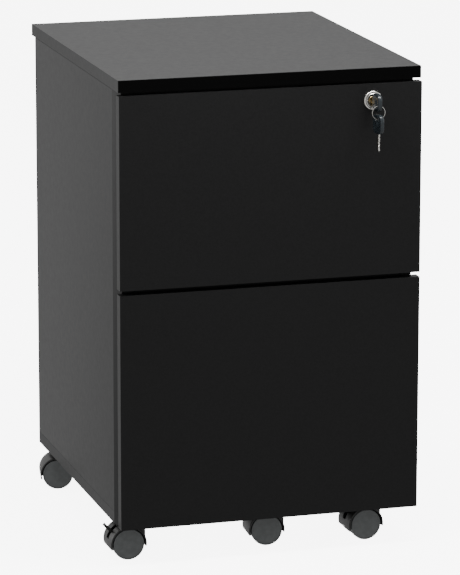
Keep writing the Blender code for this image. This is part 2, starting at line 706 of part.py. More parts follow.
def main():
    for item in list(bpy.data.objects):
        bpy.data.objects.remove(item, do_unlink=True)

    make_top()
    make_side("left_side_panel", -1)
    make_side("right_side_panel", 1)
    make_back()
    make_base()
    make_rail("upper_front_rail", CARCASS_TOP - UPPER_RAIL_HEIGHT, UPPER_RAIL_HEIGHT)
    middle_of_gap = LOWER_FRONT_TOP + DRAWER_GAP / 2
    make_rail("middle_front_rail", middle_of_gap - MIDDLE_RAIL_HEIGHT / 2, MIDDLE_RAIL_HEIGHT)

    upper_pivot = (0, back(0), UPPER_SLIDE_Z)
    lower_pivot = (0, back(0), LOWER_SLIDE_Z)
    upper = make_drawer_front("upper_drawer_front", UPPER_FRONT_BOTTOM, UPPER_FRONT_TOP, upper_pivot, True)
    lower = make_drawer_front("lower_drawer_front", BODY_BOTTOM, LOWER_FRONT_TOP, lower_pivot, False)
    make_tray("upper_drawer_tray", UPPER_TRAY_BOTTOM, UPPER_TRAY_HEIGHT, upper, False)
    make_tray("lower_drawer_tray", LOWER_TRAY_BOTTOM, LOWER_TRAY_HEIGHT, lower, True)
    make_file_rail("left_file_rail", -1, lower)
    make_file_rail("right_file_rail", 1, lower)
    for side_name, side in (("left", -1), ("right", 1)):
        make_slide("upper_" + side_name + "_slide", side, UPPER_SLIDE_Z, upper)
        make_slide("lower_" + side_name + "_slide", side, LOWER_SLIDE_Z, lower)

    make_lock_bar()
    plug = make_lock(upper)
    make_keys(plug)
    for prefix, x, depth, turn_degrees, with_brake in CASTERS:
        carrier = lower if prefix == "centre" else None
        make_caster(prefix, x, depth, turn_degrees, with_brake, carrier)


main()
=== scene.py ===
"""Looks of the rolling pedestal cabinet: folded sheet, casters, lock, keys, materials, light and camera."""
import json
import math

import bmesh
import bpy
from mathutils import Matrix, Vector

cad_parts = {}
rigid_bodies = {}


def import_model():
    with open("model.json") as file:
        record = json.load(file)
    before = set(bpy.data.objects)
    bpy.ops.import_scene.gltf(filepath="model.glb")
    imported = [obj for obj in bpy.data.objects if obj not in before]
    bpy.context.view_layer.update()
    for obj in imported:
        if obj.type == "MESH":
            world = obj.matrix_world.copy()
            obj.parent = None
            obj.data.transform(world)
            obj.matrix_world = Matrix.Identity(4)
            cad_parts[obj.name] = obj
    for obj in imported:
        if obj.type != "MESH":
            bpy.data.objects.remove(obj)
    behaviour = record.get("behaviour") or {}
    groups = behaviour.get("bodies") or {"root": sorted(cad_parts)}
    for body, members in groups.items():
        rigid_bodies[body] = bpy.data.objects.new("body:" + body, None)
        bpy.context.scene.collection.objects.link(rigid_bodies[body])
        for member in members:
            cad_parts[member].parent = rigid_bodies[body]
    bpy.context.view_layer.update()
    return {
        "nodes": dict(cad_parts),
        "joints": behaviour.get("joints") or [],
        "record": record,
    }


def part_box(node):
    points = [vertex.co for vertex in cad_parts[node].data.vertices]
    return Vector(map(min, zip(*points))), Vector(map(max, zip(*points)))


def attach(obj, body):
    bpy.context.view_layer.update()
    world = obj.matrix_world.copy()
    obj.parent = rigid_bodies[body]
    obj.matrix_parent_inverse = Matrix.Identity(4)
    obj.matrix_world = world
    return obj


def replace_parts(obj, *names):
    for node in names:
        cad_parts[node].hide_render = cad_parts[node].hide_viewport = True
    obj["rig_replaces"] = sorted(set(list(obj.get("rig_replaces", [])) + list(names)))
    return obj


# Sizes are in metres and angles in degrees, unless a comment says otherwise.

# Folded sheet
SHEET = 0.001
BEND = 0.0016
BEND_STEPS = 4
EDGE_BEVEL = 0.0003
TOP_LIP = 0.016
FRONT_SIDE_LIP = 0.045
FRONT_END_LIP = 0.008
SIDE_LIP = 0.012
GROOVE_INSET = 0.0065
GROOVE_LENGTH = 0.019

# Rear sheet and its two pressed swages
BACK_SHEET = 0.0009
BACK_COLUMNS = 96
BACK_ROWS = 110
SWAGE_OFFSET = 0.085
SWAGE_HALF_WIDTH = 0.010
SWAGE_DEPTH = 0.0007
SWAGE_END = 0.060
SWAGE_RUN_OUT = 0.010

# Casters, in a frame whose Z axis is the swivel axis and whose wheels trail towards -X
CASTERS = ("front_left", "front_right", "rear_left", "rear_right", "centre")
TRAIL = 0.020
WHEEL_RADIUS = 0.020
WHEEL_INNER = 0.0080
WHEEL_OUTER = 0.0195
WHEEL_SEGMENTS = 72
WHEEL_HUB_RADIUS = 0.0060
WHEEL_RIM_RADIUS = 0.0168
WHEEL_RECESS = 0.0010
BORE_RADIUS = 0.0028
BORE_END = 0.0165
AXLE = (-TRAIL, 0, WHEEL_RADIUS)

# A tread's shoulder: how far each point lies inside the tread's radius and inside the wheel's side
TREAD_SHOULDER = ((0.0014, 0), (0.0006, 0.0004), (0.0001, 0.0014), (0, 0.0035))

# A wheel's outer face from the rim inwards: radius, and depth below the wheel's side
WHEEL_FACE = (
    (0.0178, 0.0001), (0.0174, 0.0005), (0.0140, 0.0004), (0.0100, 0.0002), (0.0050, 0.0001), (0, 0),
)

# Hoods
HOOD_INNER = 0.0212
HOOD_OUTER = 0.0232
HOOD_HALF_WIDTH = 0.0199
HOOD_ROUND = 0.0012
HOOD_START = -8
HOOD_END = 195
HOOD_STEPS = 44
WEB_RADIUS = 0.0222
WEB_HUB_RADIUS = 0.0065
WEB_HALF_WIDTH = 0.0076
BOSS_RADIUS = 0.0060
BOSS_BOTTOM = 0.0140
BOSS_TOP = 0.0440
BOSS_ROUND = 0.0006
STEM_HOLE_RADIUS = 0.0043
STEM_SEAT = 0.0182

# Brake levers, placed from the axle
LEVER_PIVOT = (-0.0150, 0.0120)
LEVER_TIP = (-0.0270, 0.0230)
LEVER_HEEL = 0.0024
LEVER_HALF_THICKNESS = 0.0018
LEVER_HALF_WIDTH = 0.0040
LEVER_BOW = 0.0007
LEVER_STEPS = 12
LEVER_PIN_RADIUS = 0.0015
LEVER_PIN_HALF = 0.0062
RIB_DEPTH = 0.00025
RIB_START = 0.55
SLOT_HALF_WIDTH = 0.0046
SLOT_FRONT = 0.004
SLOT_DROP = 0.0072
SLOT_REACH = 0.020

# Lock. The faces' points go outwards: radius, and depth behind the bezel's or the plug's front
LOCK_HOLE_RADIUS = 0.0098
BEZEL_FACE = (
    (0.0063, 0.0008), (0.0068, 0), (0.0084, 0), (0.0089, 0.0004),
    (0.0093, 0.0002), (0.0106, 0.0002), (0.0113, 0.0006), (0.01175, 0.0013),
)
BEZEL_DEPTH = 0.0030
BARREL_RADIUS = 0.0095
BARREL_REAR = 0.0188
PLUG_FACE = ((0, 0.0004), (0.0030, 0.0004), (0.0033, 0), (0.0055, 0), (0.0060, 0.0005))
PLUG_TAIL_RADIUS = 0.0030
PLUG_TAIL_LENGTH = 0.0035
KEYWAY_HALF_WIDTH = 0.0013
KEYWAY_HALF_HEIGHT = 0.0031
KEYWAY_CORNER = 0.0003
KEYWAY_DEPTH = 0.0155

# Keys, whose lengths run from the middle of the head's slot; the spare one hangs slightly turned
HEAD_LENGTH = 0.024
HEAD_HALF_WIDTH = 0.0105
HEAD_HALF_THICKNESS = 0.0025
HEAD_CORNER = 0.007
HEAD_ROUND = 0.0009
SLOT_FROM_END = 0.0065
KEY_SLOT_HALF = (0.0018, 0.0045)
KEY_SLOT_CORNER = 0.00175
HEAD_END = HEAD_LENGTH - SLOT_FROM_END
BLADE_HALF_WIDTH = 0.00275
BLADE_HALF_THICKNESS = 0.001
BLADE_ROOT = 0.002
BLADE_TIP = 0.002
TIP_HALF_WIDTH = 0.0006
KEY_CUTS = (0.0003, 0.0013, 0.0006, 0.0016, 0.0009, 0.0012)
SPARE_TURN = 9

# Split ring
WIRE_RADIUS = 0.00036
RING_INSET = 0.0006
RING_TURNS = 1.94
RING_STEPS = 96
RING_SIDES = 8
RING_RISE = 0.00034
RING_START = 60
RING_STEEPNESS = 9

# Darkest and lightest tone of each coat's mottling
PAINT_LOW, PAINT_HIGH = (0.0062, 0.0062, 0.0063), (0.0084, 0.0084, 0.0085)
# The top's front-edge coat is far darker than the black paint: painted shade on that edge.
EDGE_SHADE_LOW, EDGE_SHADE_HIGH = (0.0004, 0.0004, 0.0004), (0.0007, 0.0007, 0.0007)
ZINC_LOW, ZINC_HIGH = (0.46, 0.47, 0.49), (0.62, 0.62, 0.60)
CHROME_LOW, CHROME_HIGH = (0.70, 0.68, 0.63), (0.86, 0.85, 0.82)
BRASS_LOW, BRASS_HIGH = (0.72, 0.52, 0.24), (0.92, 0.76, 0.46)
KEY_LOW, KEY_HIGH = (0.010, 0.014, 0.017), (0.017, 0.022, 0.026)
HOOD_LOW, HOOD_HIGH = (0.0055, 0.0055, 0.0050), (0.0085, 0.0083, 0.0075)
TYRE_LOW, TYRE_HIGH = (0.078, 0.083, 0.083), (0.096, 0.102, 0.102)

# Stretch of a noise's values that is spread over a roughness, and over a tint
NOISE_LOW, NOISE_HIGH = 0.3, 0.7
TINT_START, TINT_END = 0.35, 0.65

# Surroundings
DOME_RADIUS = 20
DOME_CORNER = 2
FLOOR_GLOW = 7.0
WORLD_STRENGTH = 0.62

# Softboxes: name, place, the point that each faces, size and power in watts
SOFTBOXES = (
    ("left_softbox", (-2.3, 1.3, 0.9), (0, 0, 0.3), (2.2, 2.2), 33),
    ("top_softbox", (0.05, -0.42, 1.20), (0.05, -0.15, 0.6), (0.9, 0.25), 12),
    ("right_softbox", (2.6, 0.4, 1.0), (0, 0, 0.3), (1.8, 1.8), 24),
    ("rear_softbox", (0.0, 2.4, 1.6), (0, 0, 0.5), (2.6, 1.6), 6),
)

# Camera: angles in radians, lens and sensor in millimetres
CAMERA_PLACE = (-1.3286, -4.5395, 1.4123)
CAMERA_YAW = 0.28742
CAMERA_PITCH = 0.23143
CAMERA_ROLL = -0.0011
CAMERA_LENS = 237.5
CAMERA_SENSOR = 36
CAMERA_CLIP_END = 50


# ---------------------------------------------------------------- materials

def new_material(name, colour, metallic, roughness, specular=0.5):
    """Principled material and its nodes, ready for detail."""
    material = bpy.data.materials.new(name)
    material.use_nodes = True
    shader = material.node_tree.nodes["Principled BSDF"]
    shader.inputs["Base Color"].default_value = (*colour, 1)
    shader.inputs["Metallic"].default_value = metallic
    shader.inputs["Roughness"].default_value = roughness
    shader.inputs["Specular IOR Level"].default_value = specular
    return material, shader


def noise(material, scale, detail=3.0, stretch=(1, 1, 1)):
    """Noise in object space; scale counts features per metre."""
    tree = material.node_tree
    place = tree.nodes.new("ShaderNodeTexCoord")
    mapping = tree.nodes.new("ShaderNodeMapping")
    mapping.inputs["Scale"].default_value = stretch
    texture = tree.nodes.new("ShaderNodeTexNoise")
    texture.inputs["Scale"].default_value = scale
    texture.inputs["Detail"].default_value = detail
    tree.links.new(place.outputs["Object"], mapping.inputs["Vector"])
    tree.links.new(mapping.outputs["Vector"], texture.inputs["Vector"])
    return texture.outputs["Fac"]


def vary(material, source, target, low, high):
    """Feed a shader socket with a noise, spread between two values."""
    tree = material.node_tree
    spread = tree.nodes.new("ShaderNodeMapRange")
    spread.inputs["From Min"].default_value = NOISE_LOW
    spread.inputs["From Max"].default_value = NOISE_HIGH
    spread.inputs["To Min"].default_value = low
    spread.inputs["To Max"].default_value = high
    tree.links.new(source, spread.inputs["Value"])
    tree.links.new(spread.outputs["Result"], target)


def tint(material, source, target, low, high):
    """Feed a colour socket with a noise, between two colours."""
    tree = material.node_tree
    ramp = tree.nodes.new("ShaderNodeValToRGB")
    ramp.color_ramp.elements[0].position = TINT_START
    ramp.color_ramp.elements[0].color = (*low, 1)
    ramp.color_ramp.elements[1].position = TINT_END
    ramp.color_ramp.elements[1].color = (*high, 1)
    tree.links.new(source, ramp.inputs["Fac"])
    tree.links.new(ramp.outputs["Color"], target)


def bump(material, shader, source, height, strength=1.0):
    """Raise the surface by a noise, height in metres."""
    tree = material.node_tree
    node = tree.nodes.new("ShaderNodeBump")
    node.inputs["Distance"].default_value = height
    node.inputs["Strength"].default_value = strength
    tree.links.new(source, node.inputs["Height"])
    tree.links.new(node.outputs["Normal"], shader.inputs["Normal"])


def powder_coat(name, low, high, roughness, specular):
    """Matte powder coat: orange-peel bump with faint mottling."""
    material, shader = new_material(name, high, 0.0, roughness, specular)
    tint(material, noise(material, scale=420, detail=5), shader.inputs["Base Color"], low, high)
    gloss = noise(material, scale=160, detail=5)
    vary(material, gloss, shader.inputs["Roughness"], roughness - 0.02, roughness + 0.02)
    bump(material, shader, noise(material, scale=1500, detail=2), height=0.00004, strength=0.35)
    return material


def zinc_plate():
    """Bright zinc on cold-drawn steel, brushed along the slides."""
    material, shader = new_material("zinc_plate", ZINC_HIGH, 1.0, 0.32)
    tint(material, noise(material, scale=45, detail=4), shader.inputs["Base Color"], ZINC_LOW, ZINC_HIGH)
    streaks = noise(material, scale=900, detail=3, stretch=(1, 0.02, 1))
    vary(material, streaks, shader.inputs["Roughness"], 0.22, 0.42)
    scratches = noise(material, scale=1400, detail=2, stretch=(1, 0.03, 1))
    bump(material, shader, scratches, height=0.00003, strength=0.5)
    return material


def polished_metal(name, low, high):
    """Polished metal with faint handling haze."""
    material, shader = new_material(name, high, 1.0, 0.14)
    tint(material, noise(material, scale=300, detail=3), shader.inputs["Base Color"], low, high)
    vary(material, noise(material, scale=700, detail=4), shader.inputs["Roughness"], 0.08, 0.22)
    bump(material, shader, noise(material, scale=2500, detail=2), height=0.00002, strength=0.3)
    return material


def moulded_plastic(name, low, high, rough_low, rough_high):
    """Moulded plastic with a fine spark-eroded grain."""
    material, shader = new_material(name, high, 0.0, rough_high)
    tint(material, noise(material, scale=180, detail=3), shader.inputs["Base Color"], low, high)
    vary(material, noise(material, scale=500, detail=3), shader.inputs["Roughness"], rough_low, rough_high)
    bump(material, shader, noise(material, scale=3200, detail=2), height=0.00003, strength=0.5)
    return material


def make_materials():
    """Every slot's finish, and two more: the top's front edge, whose darker coat is painted shade, and the
    keys' heads.
    """
    return {
        "black_paint": powder_coat("black_powder_coat", PAINT_LOW, PAINT_HIGH, 0.42, 0.20),
        # Glossier coat for the top's front edge, painted almost black as painted shade.
        "edge_shade_paint": powder_coat("black_edge_painted_shade_coat", EDGE_SHADE_LOW, EDGE_SHADE_HIGH, 0.22, 0.07),
        "zinc_plate": zinc_plate(),
        "chrome": polished_metal("chrome_plate", CHROME_LOW, CHROME_HIGH),
        "brass_plug": polished_metal("brass_plug", BRASS_LOW, BRASS_HIGH),
        "key_plastic": moulded_plastic("key_plastic", KEY_LOW, KEY_HIGH, 0.20, 0.30),
        "black_plastic": moulded_plastic("black_plastic", HOOD_LOW, HOOD_HIGH, 0.34, 0.44),
        "grey_tyre": moulded_plastic("grey_nylon", TYRE_LOW, TYRE_HIGH, 0.38, 0.50),
    }


# ------------------------------------------------------------- mesh helpers

def in_space(a, b, along, axis):
    """Point whose coordinate on axis is along; a and b fill the other two in X, Y, Z order."""
    return {"X": (along, a, b), "Y": (a, along, b), "Z": (a, b, along)}[axis]


def sharpen(mesh, degrees=35):
    """Shade a mesh smooth between edges sharper than an angle."""
    mesh.shade_smooth()
    mesh.set_sharp_from_angle(angle=math.radians(degrees))


def piece_from(name, fill, smooth_degrees=35):
    """Object whose mesh is filled by a function."""
    mesh = bpy.data.meshes.new(name)
    shape = bmesh.new()
    fill(shape)
    bmesh.ops.recalc_face_normals(shape, faces=shape.faces)
    shape.to_mesh(mesh)
    shape.free()
    item = bpy.data.objects.new(name, mesh)
    bpy.context.scene.collection.objects.link(item)
    sharpen(mesh, smooth_degrees)
    return item


def bridge(shape, row, following_row):
    """Faces between two closed rows with the same number of corners."""
    for index in range(len(row)):
        following = (index + 1) % len(row)
        shape.faces.new((row[index], row[following], following_row[following], following_row[index]))


def swept(name, sections):
    """Solid through a list of closed sections, capped at both ends."""

    def fill(shape):
        rows = [[shape.verts.new(point) for point in section] for section in sections]
        for row, following_row in zip(rows, rows[1:]):
            bridge(shape, row, following_row)
        shape.faces.new(rows[0])
        shape.faces.new(rows[-1])

    return piece_from(name, fill)


def prism(name, outline, axis, start, end):
    """Closed outline pushed along an axis from start to end."""

    def fill(shape):
        first = [shape.verts.new(in_space(a, b, start, axis)) for a, b in outline]
        last = [shape.verts.new(in_space(a, b, end, axis)) for a, b in outline]
        shape.faces.new(first)
        shape.faces.new(last)
        bridge(shape, first, last)

    return piece_from(name, fill)


def lathe(name, profile, axis, centre, segments, closed=False):
    """Profile of (radius, position) pairs turned about an axis through centre."""

    def ring(shape, radius, position):
        if radius == 0:
            return [shape.verts.new(Vector(centre) + Vector(in_space(0, 0, position, axis)))]
        corners = []
        for step in range(segments):
            angle = 2 * math.pi * step / segments
            spot = in_space(radius * math.cos(angle), radius * math.sin(angle), position, axis)
            corners.append(shape.verts.new(Vector(centre) + Vector(spot)))
        return corners

    def fill(shape):
        rings = [ring(shape, radius, position) for radius, position in profile]
        pairs = list(zip(rings, rings[1:]))
        if closed:
            pairs.append((rings[-1], rings[0]))
        for lower, upper in pairs:
            for step in range(segments):
                following = (step + 1) % segments
                if len(lower) == 1:
                    shape.faces.new((lower[0], upper[following], upper[step]))
                elif len(upper) == 1:
                    shape.faces.new((lower[step], lower[following], upper[0]))
                else:
                    shape.faces.new((lower[step], lower[following], upper[following], upper[step]))

    return piece_from(name, fill)


def rod(name, radius, start, end, axis, centre, segments):
    """Round bar along an axis through centre."""
    return lathe(name, [(0, start), (radius, start), (radius, end), (0, end)], axis, centre, segments)


def arc(centre, radius, start_degrees, end_degrees, steps):
    """Points along an arc, both ends included."""
    points = []
    for step in range(steps + 1):
        angle = math.radians(start_degrees + (end_degrees - start_degrees) * step / steps)
        points.append((centre[0] + radius * math.cos(angle), centre[1] + radius * math.sin(angle)))
    return points


def rounded_outline(centre, half_a, half_b, corner, steps):
    """Rectangle with rounded corners."""
    outline = []
    for sign_a, sign_b, start in ((1, 1, 0), (-1, 1, 90), (-1, -1, 180), (1, -1, 270)):
        middle = (centre[0] + sign_a * (half_a - corner), centre[1] + sign_b * (half_b - corner))
        outline += arc(middle, corner, start, start + 90, steps)
    return outline


def folded(path):
    """Closed outline of a sheet folded along a path with round bends; it lies on the path's left."""
    points = [Vector(point) for point in path]
    runs = [(end - start).normalized() for start, end in zip(points, points[1:])]
    near, far = [], []
    for index, point in enumerate(points):
        before = runs[max(index - 1, 0)]
        left = Vector((-before.y, before.x))
        if index in (0, len(points) - 1):
            near.append(point)
            far.append(point + left * SHEET)
            continue
        turn = 1 if left.dot(runs[index]) > 0 else -1
        bend = math.acos(max(-1.0, min(1.0, before.dot(runs[index]))))
        radius = BEND if turn > 0 else BEND - SHEET
        centre = point - before * radius * math.tan(bend / 2) + left * turn * radius
        for step in range(BEND_STEPS + 1):
            angle = turn * bend * step / BEND_STEPS
            spoke = Matrix.Rotation(angle, 2) @ (-left * turn)
            near.append(centre + spoke * radius)
            far.append(centre + spoke * (radius - turn * SHEET))
    return near + far[::-1]


def applied(item):
    """Turn an object's modifiers into its mesh."""
    graph = bpy.context.evaluated_depsgraph_get()
    mesh = bpy.data.meshes.new_from_object(item.evaluated_get(graph))
    item.modifiers.clear()
    item.data = mesh
    return item


def add_bevel(item, width, segments=2):
    """Round an object's sharp edges."""
    bevel = item.modifiers.new("edge", "BEVEL")
    bevel.width = width
    bevel.segments = segments
    bevel.limit_method = "ANGLE"
    bevel.angle_limit = math.radians(40)
    bevel.harden_normals = True


def thicken(item, thickness):
    """Give an open surface its sheet's thickness, inwards."""
    sheet = item.modifiers.new("sheet", "SOLIDIFY")
    sheet.thickness = thickness
    sheet.offset = -1


def cut(item, *cutters):
    """Cut solids away from an object; the cutters are used up."""
    for cutter in cutters:
        modifier = item.modifiers.new("cut", "BOOLEAN")
        modifier.operation = "DIFFERENCE"
        modifier.solver = "EXACT"
        modifier.object = cutter
    applied(item)
    for cutter in cutters:
        bpy.data.objects.remove(cutter, do_unlink=True)
    sharpen(item.data)
    return item


def joined(name, items):
    """One object out of several whose places are in their meshes."""
    shape = bmesh.new()
    for item in items:
        shape.from_mesh(item.data)
        bpy.data.objects.remove(item, do_unlink=True)
    mesh = bpy.data.meshes.new(name)
    shape.to_mesh(mesh)
    shape.free()
    whole = bpy.data.objects.new(name, mesh)
    bpy.context.scene.collection.objects.link(whole)
    sharpen(mesh)
    return whole


def middle_of(node):
    """Middle of a CAD node's box."""
    low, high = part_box(node)
    return (low + high) / 2


def dress(item, material, slot, body, *nodes):
    """Paint a piece, fix it to its body and let it stand for CAD nodes."""
    item.data.materials.clear()
    item.data.materials.append(material)
    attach(item, body)
    if nodes:
        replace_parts(item, *nodes)


# ---------------------------------------------------------------- sheet steel

def pan(name, size, side_lip, end_lip, to_world):
    """Square-cornered pan: face at w = 0, return lips at w = depth; to_world places (u, v, w)."""
    width, height, depth = size

    def rectangle(shape, inset_u, inset_v, w):
        half_u = width / 2 - inset_u
        half_v = height / 2 - inset_v
        corners = ((-half_u, -half_v), (half_u, -half_v), (half_u, half_v), (-half_u, half_v))
        return [shape.verts.new(to_world(u, v, w)) for u, v in corners]

    def fill(shape):
        face = rectangle(shape, 0, 0, 0)
        rim = rectangle(shape, 0, 0, depth)
        lip = rectangle(shape, side_lip, end_lip, depth)
        shape.faces.new(face)
        bridge(shape, face, rim)
        bridge(shape, rim, lip)

    item = piece_from(name, fill, 60)
    thicken(item, SHEET)
    return applied(item)


def make_top(materials):
    """Top panel, open below between its return lips; its front edge has a glossier coat painted much darker
    than the rest, as painted shade.
    """
    low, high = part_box("top_panel")
    middle = (low + high) / 2
    size = high - low

    def to_world(u, v, w):
        return middle.x + u, middle.y + v, high.z - w

    top = pan("top_shell", (size.x, size.y, size.z), TOP_LIP, TOP_LIP, to_world)
    dress(top, materials["black_paint"], "black_paint", "cabinet", "top_panel")
    top.data.materials.append(materials["edge_shade_paint"])
    # The front-facing faces of the top's front edge take the darker coat, which paints shade onto them.
    for face in top.data.polygons:
        if face.normal.y < -0.9 and face.center.y < low.y + 2 * SHEET:
            face.material_index = 1


def make_sides(materials):
    """Side skins folded with the finger groove, front post and rear return."""
    for name, side in (("left_side_panel", -1), ("right_side_panel", 1)):
        low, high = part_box(name)
        skin = low.x if side < 0 else high.x
        post = high.x if side < 0 else low.x
        path = [
            (post, high.y - SIDE_LIP),
            (post, high.y),
            (skin, high.y),
            (skin, low.y + GROOVE_LENGTH),
            (skin - side * GROOVE_INSET, low.y),
            (post, low.y),
            (post, low.y + SIDE_LIP),
        ]
        if side > 0:
            path = path[::-1]
        item = prism(name + "_shell", folded(path), "Z", low.z, high.z)
        dress(item, materials["black_paint"], "black_paint", "cabinet", name)


def make_back(materials):
    """Rear sheet with two pressed stiffening swages."""
    low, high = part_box("back_panel")
    middle_x = (low.x + high.x) / 2

    def depth(x, z):
        across = abs(x - middle_x) - SWAGE_OFFSET
        from_end = min(z - low.z, high.z - z) - SWAGE_END
        if from_end < 0:
            return 0
        slope = max(0.0, 1 - abs(across) / SWAGE_HALF_WIDTH)
        return SWAGE_DEPTH * min(1.0, 2 * slope) * min(1.0, from_end / SWAGE_RUN_OUT)

    def fill(shape):
        grid = []
        for row in range(BACK_ROWS + 1):
            z = low.z + (high.z - low.z) * row / BACK_ROWS
            line = []
            for column in range(BACK_COLUMNS + 1):
                x = low.x + (high.x - low.x) * column / BACK_COLUMNS
                line.append(shape.verts.new((x, high.y - depth(x, z), z)))
            grid.append(line)
        for lower, upper in zip(grid, grid[1:]):
            for column in range(BACK_COLUMNS):
                shape.faces.new((lower[column + 1], lower[column], upper[column], upper[column + 1]))

    item = piece_from("back_shell", fill, 60)
    turn_backwards(item)
    thicken(item, BACK_SHEET)
    dress(item, materials["black_paint"], "black_paint", "cabinet", "back_panel")


def turn_backwards(item):
    """Make an open sheet's faces look towards +Y."""
    shape = bmesh.new()
    shape.from_mesh(item.data)
    if sum(face.normal.y * face.calc_area() for face in shape.faces) < 0:
        bmesh.ops.reverse_faces(shape, faces=shape.faces)
    shape.to_mesh(item.data)
    shape.free()


def make_fronts(materials):
    """Drawer fronts as pans; the upper one is pierced for the lock."""
    for body in ("upper_drawer", "lower_drawer"):
        name = body + "_front"
        low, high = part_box(name)
        middle = (low + high) / 2
        size = high - low

        def to_world(u, v, w):
            return middle.x + u, low.y + w, middle.z + v

        item = pan(name + "_shell", (size.x, size.z, size.y), FRONT_SIDE_LIP, FRONT_END_LIP, to_world)
        if body == "upper_drawer":
            lock = middle_of("lock_housing")
            cut(item, rod("hole", LOCK_HOLE_RADIUS, -0.010, 0.004, "Y", (lock.x, low.y, lock.z), 48))
        dress(item, materials["black_paint"], "black_paint", body, name)


# -------------------------------------------------------------------- casters

def caster_frame(prefix):
    """Matrix from the caster's own frame to the world, at rest."""
    stem = middle_of(prefix + "_stem")
    axle = next(joint for joint in FRAME["joints"] if joint["name"] == prefix + "_wheel_left_roll")
    axis = Vector(axle["axis"])
    turn = math.atan2(-axis.x, axis.y)
    return Matrix.Translation((stem.x, stem.y, 0)) @ Matrix.Rotation(turn, 4, "Z")


def wheel(name, side):
    """Wheel with a crowned tread, a hub and rim round its inner recess, and a dished outer face."""
    recess = WHEEL_INNER + WHEEL_RECESS
    profile = [
        (0, BORE_END),
        (BORE_RADIUS, BORE_END),
        (BORE_RADIUS, WHEEL_INNER),
        (WHEEL_HUB_RADIUS, WHEEL_INNER),
        (WHEEL_HUB_RADIUS + 0.0002, recess),
        (WHEEL_RIM_RADIUS - 0.0003, recess),
        (WHEEL_RIM_RADIUS, WHEEL_INNER),
    ]
    profile += [(WHEEL_RADIUS - drop, WHEEL_INNER + inset) for drop, inset in TREAD_SHOULDER]
    profile += [(WHEEL_RADIUS - drop, WHEEL_OUTER - inset) for drop, inset in reversed(TREAD_SHOULDER)]
    profile += [(radius, WHEEL_OUTER - depth) for radius, depth in WHEEL_FACE]
    mirrored = [(radius, side * position) for radius, position in profile]
    return lathe(name, mirrored, "Y", AXLE, WHEEL_SEGMENTS)


def hood_shroud():
    """Shroud swept over the treads, with rounded shoulders."""
    shoulder = HOOD_OUTER - HOOD_ROUND
    edge = HOOD_HALF_WIDTH - HOOD_ROUND
    section = [(-HOOD_HALF_WIDTH, HOOD_INNER), (HOOD_HALF_WIDTH, HOOD_INNER)]
    section += arc((edge, shoulder), HOOD_ROUND, 0, 90, 4)
    section += arc((-edge, shoulder), HOOD_ROUND, 90, 180, 4)
    sections = []
    for step in range(HOOD_STEPS + 1):
        angle = math.radians(HOOD_START + (HOOD_END - HOOD_START) * step / HOOD_STEPS)
        spoke = Vector((math.cos(angle), 0, math.sin(angle)))
        sections.append([Vector(AXLE) + spoke * radius + Vector((0, y, 0)) for y, radius in section])
    return swept("shroud", sections)


def hood_web():
    """Web between the wheels, bored for the axle and the stem."""
    centre = (-TRAIL, WHEEL_RADIUS)
    outline = arc(centre, WEB_RADIUS, -4, 191, 40) + arc(centre, WEB_HUB_RADIUS, 230, 310, 10)
    web = prism("web", outline, "Y", -WEB_HALF_WIDTH, WEB_HALF_WIDTH)
    axle_hole = rod("axle_hole", BORE_RADIUS, -0.020, 0.020, "Y", AXLE, 24)
    stem_hole = rod("stem_hole", STEM_HOLE_RADIUS, STEM_SEAT, 0.050, "Z", (0, 0, 0), 24)
    return cut(web, axle_hole, stem_hole)


def hood_boss():
    """Turned boss that holds the stem."""
    waist = BOSS_RADIUS - BOSS_ROUND
    profile = [
        (0, STEM_SEAT),
        (STEM_HOLE_RADIUS, STEM_SEAT),
        (STEM_HOLE_RADIUS, BOSS_TOP - 0.0002),
        (STEM_HOLE_RADIUS + 0.0003, BOSS_TOP),
        (waist - 0.0001, BOSS_TOP),
        (BOSS_RADIUS - 0.0002, BOSS_TOP - 0.0003),
        (BOSS_RADIUS, BOSS_TOP - 0.0009),
        (BOSS_RADIUS, BOSS_BOTTOM + BOSS_ROUND),
        (waist, BOSS_BOTTOM),
        (0, BOSS_BOTTOM),
    ]
    return lathe("boss", profile, "Z", (0, 0, 0), 40)


def lever_slot():
    """Cutter for the slot in which a brake lever swings."""
    x = AXLE[0] + LEVER_PIVOT[0]
    z = AXLE[2] + LEVER_PIVOT[1]
    outline = [
        (x - SLOT_REACH, z - SLOT_DROP),
        (x + SLOT_FRONT, z - SLOT_DROP),
        (x + SLOT_FRONT, z + SLOT_REACH),
        (x - SLOT_REACH, z + SLOT_REACH),
    ]
    return prism("slot", outline, "Y", -SLOT_HALF_WIDTH, SLOT_HALF_WIDTH)


def hood(name, with_brake):
    """Shroud, web between the wheels and stem boss."""
    shroud = hood_shroud()
    web = hood_web()
    if with_brake:
        cut(shroud, lever_slot())
        cut(web, lever_slot())
    return joined(name, [shroud, web, hood_boss()])


def brake_lever(name):
    """Curved pedal with a ribbed toe and its pivot pin."""
    axle = Vector((AXLE[0], AXLE[2]))
    pivot = axle + Vector(LEVER_PIVOT)
    along = Vector(LEVER_TIP) - Vector(LEVER_PIVOT)
    length = along.length
    along.normalize()
    across = Vector((-along.y, along.x))
    upper, lower = [], []
    for step in range(LEVER_STEPS + 1):
        share = step / LEVER_STEPS
        rib = RIB_DEPTH if share > RIB_START and step % 2 else 0
        bow = LEVER_BOW * math.sin(math.pi * share)
        spot = pivot + along * (-LEVER_HEEL + (length + LEVER_HEEL) * share) + across * bow
        upper.append(spot + across * (LEVER_HALF_THICKNESS - rib))
        lower.append(spot - across * LEVER_HALF_THICKNESS)
    pedal = prism("pedal", upper + lower[::-1], "Y", -LEVER_HALF_WIDTH, LEVER_HALF_WIDTH)
    pin = rod("pin", LEVER_PIN_RADIUS, -LEVER_PIN_HALF, LEVER_PIN_HALF, "Y", (pivot.x, 0, pivot.y), 20)
    return joined(name, [pedal, pin])


